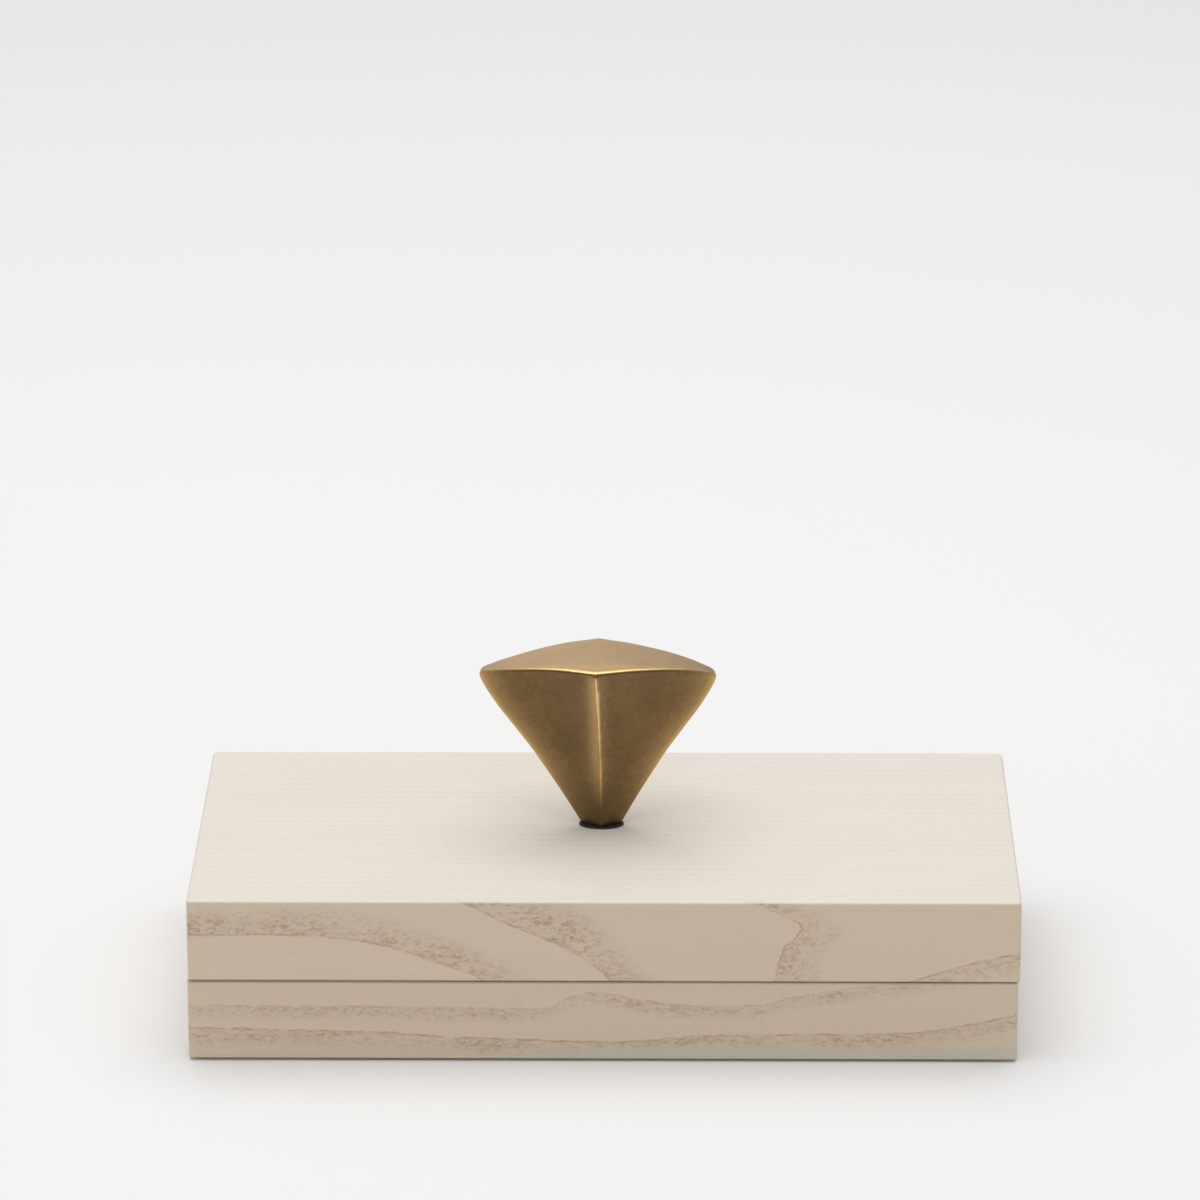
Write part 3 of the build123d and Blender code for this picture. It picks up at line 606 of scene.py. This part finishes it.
def make_knob(mat):
    n = len(knob_outline(0.0))
    rim_h = []
    for i in range(n):
        h = KNOB_H
        for _ in range(40):
            x = knob_outline_cache(h)[i][0]
            h = 0.5 * h + 0.5 * (KNOB_H - knob_drop(x))
        rim_h.append(h)
    # worn holds the gold, partly wear and partly painted highlight
    verts, worn, painted_rim_shade, painted_top_sheen = [], [], [], []

    def place(x, y, z):
        c, s = math.cos(KNOB_TURN), math.sin(KNOB_TURN)
        return (KNOB_X + c * x - s * y - KNOB_LEAN * z, KNOB_Y + s * x + c * y, KNOB_Z0 + z)

    def add(p, w, u, up):
        verts.append(place(*p))
        worn.append(w)
        painted_rim_shade.append(u)
        painted_top_sheen.append(up)

    levels = [0.0, 0.012, 0.03, 0.06] + [0.06 + 0.86 * i / 26 for i in range(1, 27)] + [0.936, 0.948, 0.956, 0.961, 0.964, 0.9665, 0.969, 0.971, 0.973, 0.975]
    side_pts = []
    for i in range(n):
        rim = knob_outline_cache(rim_h[i])[i]
        R = Vector((rim[0], rim[1], rim_h[i]))
        below = knob_outline_cache(rim_h[i] * 0.93)[i]
        ds = (Vector((below[0], below[1], rim_h[i] * 0.93)) - R).normalized()
        # inward over the top: towards the long axis, following the arch
        inward = Vector((rim[0] * 0.55, rim[1] * 0.10, 0)) - Vector((rim[0], rim[1], 0))
        along = min(1.0, max(0.0, (abs(rim[0]) - 24.0) / 4.5))       # 0 on the long rims, 1 at the ends
        flat = Vector((0, -rim[1], 0)) if abs(rim[1]) > 1e-6 else Vector((0, 0, 0))
        if flat.length > 0:
            flat.normalize()
        dirx = Vector((-math.copysign(1, rim[0]) if abs(rim[0]) > 1e-6 else 0.0, 0, 0))
        step = (flat * (1 - along) + dirx * along)
        if step.length < 1e-6:
            step = dirx if dirx.length else flat
        step.normalize()
        q = R + step * 0.5
        q.z = KNOB_H - knob_drop(q.x)
        dt = (q - R).normalized()
        cosang = max(-0.999, min(0.999, ds.dot(dt)))
        ang = math.acos(cosang)
        crest = math.exp(-(rim[0] / 12.0) ** 2) if rim[1] < 0 else 0.0
        limit = 0.45 * max(abs(rim[1]) * (1 - along) + 6 * along, 0.05)
        reach = min(0.42 + 0.30 * along + 0.10 * crest, limit)       # down the side
        inward_reach = min(0.85 + 1.55 * crest, limit)               # over the top
        side_pts.append((R, ds, dt, reach, along, rim, inward_reach))
    grid = []
    fil = 9
    for i in range(n):
        R, ds, dt, reach, along, rim, inward_reach = side_pts[i]
        col = []
        total = rim_h[i]
        h_stop = total + ds.z * reach
        for k, lv in enumerate(levels):
            h = h_stop * lv / levels[-1]
            o = knob_outline_cache(round(h, 3))[i]
            p = Vector((o[0], o[1], h))
            col.append((p, i, "side", h_stop - h))
        start = R + ds * reach
        end = R + dt * inward_reach
        # close the small gap between the ruled side and the fillet's start
        col[-1] = (start, i, "side", 0.0)
        for k in range(1, fil):
            s = k / fil
            p = start * (1 - s) ** 2 + R * (2 * s * (1 - s)) + end * s ** 2
            col.append((p, i, "fillet", s))
        col.append((end, i, "top", 0.0))
        grid.append(col)
    m_levels = len(grid[0])
    # distances to the ridge lines, used for the gold, which is partly wear and partly painted highlight
    for i in range(n):
        R, ds, dt, reach, along, rim, inward_reach = side_pts[i]
        for k, (p, _, kind, f) in enumerate(grid[i]):
            dy = abs(p.x)                                            # ridge lies at x = 0
            a_here = max(1.0, smooth_table([(s[0], s[1]) for s in SECTIONS], min(p.z, 44)))
            d_end = a_here - abs(p.x)
            bow = 0.42 * math.sin(math.pi * min(1.0, max(0.0, p.z / 43.0))) if p.y < 0 else 0.0
            wide = 0.26 + 0.06 * math.sin(p.z * 0.55) + 0.05 * math.sin(p.z * 1.7 + 1.0)
            # the thin ridge line is wear and painted highlight; the glow beside it, stronger at the left, and the
            # orange-gold ends are painted highlight
            ridge = math.exp(-((p.x - bow) / wide) ** 2)
            ridge_glow = (0.38 if p.x < 0 else 0.17) * math.exp(-(dy / 2.1) ** 2)
            endw = 0.36 * math.exp(-(max(0, d_end) / 1.3) ** 2) + 0.27 * math.exp(-(max(0, d_end) / 5.0) ** 2)
            height = min(1.0, max(0.0, (p.z - 4.0) / 14.0))
            w = max(ridge * 1.0 * height, ridge_glow * height, endw * (0.25 + 0.75 * height))
            u = 0.0
            middle = math.exp(-(abs(p.x) / 13.0) ** 2)
            fade = 1 - min(1.0, max(0.0, (abs(p.x) - 15.0) / 9.0))
            # painted highlight along the rounding of the rim, strongest at the front middle
            if kind == "fillet":
                w = max(w * 0.6, (0.15 + 0.85 * math.sin(math.pi * min(1, 0.08 + f * 1.02))) * (0.18 + 0.22 * fade + 0.60 * middle))
            if kind == "top":
                w = max(w * 0.3, (0.66 if p.y < 0 else 0.16) * middle)
            if kind == "side":
                # painted shade: a dark line just under the front rim and a dark spot under the front corner
                u = 0.85 * math.exp(-((f - 0.16) / 0.24) ** 2) * (0.15 + 0.85 * fade) * (1 - along)
                u = max(u, 0.80 * math.exp(-(dy / 0.85) ** 2) * math.exp(-((f - 0.55) / 0.50) ** 2))
                # the painted highlight is held back in that painted dark spot
                w *= 1 - 0.8 * math.exp(-(f / 0.9) ** 2) * math.exp(-(dy / 2.0) ** 2)
            # painted sheen: the rounding and the top get the pale colour that stands in for their reflection
            up = 0.0
            if kind == "fillet":
                up = f
            if kind == "top":
                up = 1.0
            add((p.x, p.y, p.z), w, u, up)
    index = lambda i, k: (i % n) * m_levels + k
    faces = []
    for i in range(n):
        for k in range(m_levels - 1):
            faces.append((index(i, k), index(i + 1, k), index(i + 1, k + 1), index(i, k + 1)))
    # foot
    faces.append(tuple(index(i, 0) for i in reversed(range(n))))
    # top: strips straight across, from the front rim to the back rim
    half_n = n // 2
    across = 14
    rowsT = []
    for i in range(half_n + 1):
        back = grid[i][-1][0]
        front = grid[(n - i) % n][-1][0]
        line = [index(i, m_levels - 1)]
        for j in range(1, across):
            f = j / across
            p = back.lerp(front, f)
            x = p.x
            edge_z = back.z * (1 - f) + front.z * f
            z_here = KNOB_H - knob_drop(x)
            # settle on to the arch away from the rims
            blend = min(1.0, 6 * f * (1 - f))
            z = edge_z * (1 - blend) + z_here * blend
            d_rim = min((back - p).length, (front - p).length)
            deep = 1.2 + 2.2 * math.exp(-(abs(x) / 8.0) ** 2)
            # painted highlight along the front rim of the top, faint at the back
            w = (0.66 if f > 0.5 else 0.14) * math.exp(-(d_rim / deep) ** 2) * math.exp(-(abs(x) / 13.0) ** 2)
            line.append(len(verts))
            # the top strips get the painted sheen in full
            add((x, p.y, min(z, KNOB_H)), w, 0.0, 1.0)
        line.append(index((n - i) % n, m_levels - 1))
        rowsT.append(line)
    for i in range(half_n):
        for j in range(across):
            quad = (rowsT[i][j], rowsT[i][j + 1], rowsT[i + 1][j + 1], rowsT[i + 1][j])
            if len(set(quad)) >= 3:
                faces.append(tuple(dict.fromkeys(quad)))
    return new_object("knob_body", verts, faces, mat, attrs={"worn": worn, "painted_rim_shade": painted_rim_shade, "painted_top_sheen": painted_top_sheen})


_cache = {}


def knob_outline_cache(h):
    key = round(h, 3)
    if key not in _cache:
        _cache[key] = knob_outline(key)
    return _cache[key]


# ------------------------------------------------------------------ dried paint in its pans
def rounded_rect(cx, cy, lx, ly, r, n=12):
    """Points round a rounded rectangle, n to each corner and n to each side."""
    pts = []
    for sx, sy, a0 in ((1, 1, 0), (-1, 1, 90), (-1, -1, 180), (1, -1, 270)):
        ox, oy = cx + sx * (lx / 2 - r), cy + sy * (ly / 2 - r)
        for i in range(n):
            t = math.radians(a0 + 90 * i / (n - 1))
            pts.append((ox + r * math.cos(t), oy + r * math.sin(t)))
    out = []
    m = len(pts)
    for i in range(m):
        a, b = pts[i], pts[(i + 1) % m]
        out.append(a)
        if (i + 1) % n == 0:
            for j in range(1, 8):
                f = j / 8
                out.append((a[0] + (b[0] - a[0]) * f, a[1] + (b[1] - a[1]) * f))
    return out


def make_cake(name, node, mat, seed, used):
    """Cast paint: a raised rim where it dried against the cup, hollowed by a wet brush in the middle."""
    lo, hi = (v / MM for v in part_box(node))
    rng = random.Random(seed)
    cx, cy = (lo.x + hi.x) / 2, (lo.y + hi.y) / 2
    lx, ly = hi.x - lo.x, hi.y - lo.y
    outer = rounded_rect(cx, cy, lx, ly, 1.0)
    n = len(outer)
    ox, oy = rng.uniform(-1.6, 1.6), rng.uniform(-1.2, 1.2)
    swirl = rng.uniform(0, 6.28)
    waves = [(rng.uniform(0.5, 1.1), rng.uniform(0, 6.28), rng.uniform(0, 6.28), rng.uniform(0.03, 0.09)) for _ in range(5)]
    top = hi.z

    def height(x, y, f):
        """f runs from 0 in the middle to 1 at the wall"""
        dx, dy = (x - cx - ox) / 6.0, (y - cy - oy) / 4.8
        r = math.hypot(dx, dy)
        dish = used * math.exp(-(r / 0.85) ** 2)
        ring = 0.10 * used * math.cos(5.5 * r + 1.4 * math.atan2(dy, dx) + swirl) * math.exp(-(r / 1.1) ** 2)
        shrink = 0.30 * (1 - f ** 6)
        bumpy = sum(a * math.sin(k * x + p1) * math.cos(k * y * 1.2 + p2) for k, p1, p2, a in waves)
        return top - 0.02 - shrink - dish - ring - abs(bumpy) * (1 - f ** 8)

    verts, wet = [], []
    rings = 22
    for k in range(rings + 1):
        f = (k + 0.0) / rings
        f = 1 - (1 - f) ** 1.25
        for px, py in outer:
            g = 0.02 + 0.98 * f
            x, y = cx + (px - cx) * g, cy + (py - cy) * g
            z = height(x, y, g)
            if g > 0.93:
                z -= 0.45 * ((g - 0.93) / 0.07) ** 2
            verts.append((x, y, min(z, top)))
            r = math.hypot((x - cx - ox) / 6.0, (y - cy - oy) / 4.8)
            wet.append(math.exp(-(r / 0.8) ** 2) * min(1.0, used * 0.7))
    for z, inset in ((lo.z + (top - lo.z) * 0.5, 0.985), (lo.z, 0.955)):
        for px, py in outer:
            verts.append((cx + (px - cx) * inset, cy + (py - cy) * inset, z))
            wet.append(0.0)
    faces = []
    for k in range(rings + 2):
        for i in range(n):
            j = (i + 1) % n
            faces.append((k * n + i, k * n + j, (k + 1) * n + j, (k + 1) * n + i))
    faces.append(tuple(range(n)))
    faces.append(tuple((rings + 2) * n + i for i in reversed(range(n))))
    return new_object(name, verts, faces, mat, attrs={"wet": wet})


# ------------------------------------------------------------------ brush hair
HAIR = [(46.0, 1.60), (57.2, 1.60), (61.0, 2.30), (65.0, 2.50), (70.0, 2.06), (75.0, 1.12), (79.0, 0.35), (80.3, 0.06)]
BRUSH_Y, BRUSH_Z = -28.0, 12.6


def make_hair(mat):
    verts, faces = [], []
    rng = random.Random(17)
    # core
    stations = [46.0, 50.0, 54.0, 57.0] + [57.0 + 0.75 * i for i in range(1, 31)]
    around = 28
    for x in stations:
        r = max(0.02, smooth_table(HAIR, x) * 0.90)
        for j in range(around):
            t = 2 * math.pi * j / around
            wob = 1 + 0.05 * math.sin(7 * t + x * 0.3) + 0.03 * math.sin(11 * t)
            verts.append((x, BRUSH_Y + r * wob * math.cos(t), BRUSH_Z + r * wob * math.sin(t)))
    for k in range(len(stations) - 1):
        for j in range(around):
            a, b = k * around + j, k * around + (j + 1) % around
            faces.append((a, b, b + around, a + around))
    faces.append(tuple(reversed(range(around))))
    last = (len(stations) - 1) * around
    faces.append(tuple(last + j for j in range(around)))
    # strands lying on it, each a thin tapered sliver
    for s in range(260):
        t0 = rng.uniform(0, 2 * math.pi)
        twist = rng.uniform(-0.10, 0.10)
        lift = rng.uniform(0.90, 0.985)
        x_end = 80.4 - abs(rng.gauss(0, 2.2))
        half = rng.uniform(0.055, 0.085)
        first = len(verts)
        steps = 16
        for k in range(steps + 1):
            f = k / steps
            x = 55.5 + (x_end - 55.5) * f
            r = max(0.015, smooth_table(HAIR, x) * lift)
            t = t0 + twist * f
            w = half * (1 - 0.85 * f ** 2)
            c = Vector((x, BRUSH_Y + r * math.cos(t), BRUSH_Z + r * math.sin(t)))
            out = Vector((0, math.cos(t), math.sin(t)))
            side = Vector((0, -math.sin(t), math.cos(t)))
            room = max(0.0, min(w, smooth_table(HAIR, x) - r))
            for v in (c - side * w, c + out * room, c + side * w, c - out * w):
                verts.append(tuple(v))
        for k in range(steps):
            for j in range(4):
                a, b = first + k * 4 + j, first + k * 4 + (j + 1) % 4
                faces.append((a, b, b + 4, a + 4))
        faces.append((first + 3, first + 2, first + 1, first))
        e = first + steps * 4
        faces.append((e, e + 1, e + 2, e + 3))
    return new_object("brush_tuft", verts, faces, mat)


# ------------------------------------------------------------------ put it together
def paint_node(name, mat):
    o = NODES[name]
    if not o.material_slots:
        o.data.materials.append(mat)
    for s in o.material_slots:
        s.material = mat


paint_node("lid", limed_ash("limed_ash_lid", "lid"))
paint_node("base_tray", limed_ash("limed_ash_base", "base"))
wood = fitting_wood("fitting_wood")
for node in ("liner_front", "liner_back", "liner_left", "liner_right", "brush_divider", "rib_left", "rib_right",
             "brush_rest_left", "brush_rest_right"):
    paint_node(node, wood)
paint_node("base_pad", cork("cork"))
paint_node("knob_washer", fibre_washer("black_fibre"))
turned = steel("turned_steel")
paint_node("knob_screw", turned)
paint_node("screw_washer", turned)
paint_node("pan_tray", enamel("black_enamel"))
plastic = pan_plastic("pan_white")
for i in range(12):
    paint_node(f"half_pan_{i + 1:02d}", plastic)
paint_node("mixing_palette", glaze("white_glaze"))
paint_node("brush_handle", lacquer("handle_lacquer"))
paint_node("brush_ferrule", steel("drawn_ferrule", (0.66, 0.63, 0.58), along_x=True))

knob_brass = brass("aged_brass")
knob = make_knob(knob_brass)
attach(knob, "lid")
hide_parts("knob")

tuft = make_hair(hair_stuff("hair"))
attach(tuft, "brush")
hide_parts("brush_hair")

PAINTS = [  # name, mass tone, thin tone, glossy, how far it is used (mm)
    ("lemon_yellow", (0.700, 0.560, 0.035), (0.840, 0.760, 0.120), False, 1.1),
    ("warm_yellow", (0.680, 0.370, 0.018), (0.840, 0.560, 0.060), False, 1.7),
    ("orange", (0.620, 0.165, 0.014), (0.800, 0.300, 0.040), False, 0.7),
    ("scarlet", (0.420, 0.030, 0.016), (0.680, 0.075, 0.040), True, 1.4),
    ("crimson", (0.130, 0.006, 0.018), (0.420, 0.020, 0.060), True, 1.9),
    ("violet", (0.040, 0.010, 0.070), (0.170, 0.050, 0.270), True, 0.6),
    ("deep_blue", (0.012, 0.018, 0.130), (0.040, 0.075, 0.420), True, 2.2),
    ("sky_blue", (0.015, 0.120, 0.270), (0.080, 0.340, 0.560), False, 1.3),
    ("blue_green", (0.008, 0.060, 0.052), (0.030, 0.240, 0.200), True, 0.8),
    ("leaf_green", (0.045, 0.120, 0.016), (0.150, 0.300, 0.050), False, 1.6),
    ("yellow_ochre", (0.360, 0.195, 0.040), (0.540, 0.330, 0.100), False, 2.0),
    ("burnt_umber", (0.075, 0.032, 0.014), (0.200, 0.090, 0.042), False, 1.5),
]
for i, (colour, mass, tint, glossy, used) in enumerate(PAINTS):
    mat = paint_stuff(f"paint_{colour}_dry", mass, tint, glossy)
    cake = make_cake(f"cake_{colour}", f"paint_{colour}", mat, 100 + i, used)
    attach(cake, "pan_tray")
    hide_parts(f"paint_{colour}")

# ------------------------------------------------------------------ floor and backdrop, one sweep
def make_sweep(mat):
    front, back, width = -4.0, 3.4, 4.5
    verts, faces = [], []
    profile = [(front, 0.0)] + [(front + (back - front) * i / 24, 0.0) for i in range(1, 25)]
    radius = 1.2
    for i in range(1, 25):
        t = math.pi / 2 * i / 24
        profile.append((back + radius * math.sin(t), radius * (1 - math.cos(t))))
    profile.append((back + radius, 3.2))
    for y, z in profile:
        for j in range(9):
            verts.append(((-width + 2 * width * j / 8) * 1000, y * 1000, z * 1000))
    for k in range(len(profile) - 1):
        for j in range(8):
            a = k * 9 + j
            faces.append((a, a + 1, a + 10, a + 9))
    return new_object("sweep", verts, faces, mat)


sweep = make_sweep(floor_paper("pale_paper"))

# ------------------------------------------------------------------ camera
pitch, yaw, roll = math.radians(-19.7544), math.radians(0.6452), math.radians(0.1052)
Rz = Matrix.Rotation(yaw, 3, "Z")
Rx = Matrix.Rotation(pitch, 3, "X")
Ry = Matrix.Rotation(roll, 3, "Y")
M = Rz @ Rx @ Ry
right, forward, up = (Vector(M.col[i]) for i in range(3))
cam_data = bpy.data.cameras.new("camera")
cam = bpy.data.objects.new("camera", cam_data)
bpy.context.scene.collection.objects.link(cam)
world_m = Matrix.Identity(4)
for i in range(3):
    world_m[i][0], world_m[i][1], world_m[i][2] = right[i], up[i], -forward[i]
world_m[0][3], world_m[1][3], world_m[2][3] = 0.01548, -1.48105, 0.6324
cam.matrix_world = world_m
cam_data.sensor_width = 36.0
cam_data.sensor_fit = "HORIZONTAL"
cam_data.lens = 6467.58 / 1200 * 36.0
cam_data.clip_start, cam_data.clip_end = 0.05, 30.0
bpy.context.scene.camera = cam


# ------------------------------------------------------------------ light
def area(name, place, target, size_x, size_y, power, color=(1, 1, 1)):
    d = bpy.data.lights.new(name, "AREA")
    d.shape, d.size, d.size_y, d.energy, d.color = "RECTANGLE", size_x, size_y, power, color
    o = bpy.data.objects.new(name, d)
    bpy.context.scene.collection.objects.link(o)
    o.location = place
    o.rotation_mode = "QUATERNION"
    o.rotation_quaternion = (Vector(target) - Vector(place)).to_track_quat("-Z", "Y")
    return o


area("overhead", (-0.11, 0.15, 1.62), (0.0, 0.08, 0.0), 1.9, 1.5, 17.5, (1.0, 0.995, 0.985))
area("front_fill", (-0.35, -2.0, 0.85), (0.0, 0.0, 0.05), 1.8, 1.1, 1.6, (1.0, 0.995, 0.985))
world = bpy.data.worlds.new("studio")
world.use_nodes = True
bg = world.node_tree.nodes["Background"]
bg.inputs[0].default_value = (0.985, 0.99, 1.0, 1.0)
bg.inputs[1].default_value = 0.548
bpy.context.scene.world = world
bpy.context.scene.view_settings.view_transform = "Standard"
bpy.context.scene.view_settings.look = "None"
bpy.context.scene.cycles.use_denoising = True
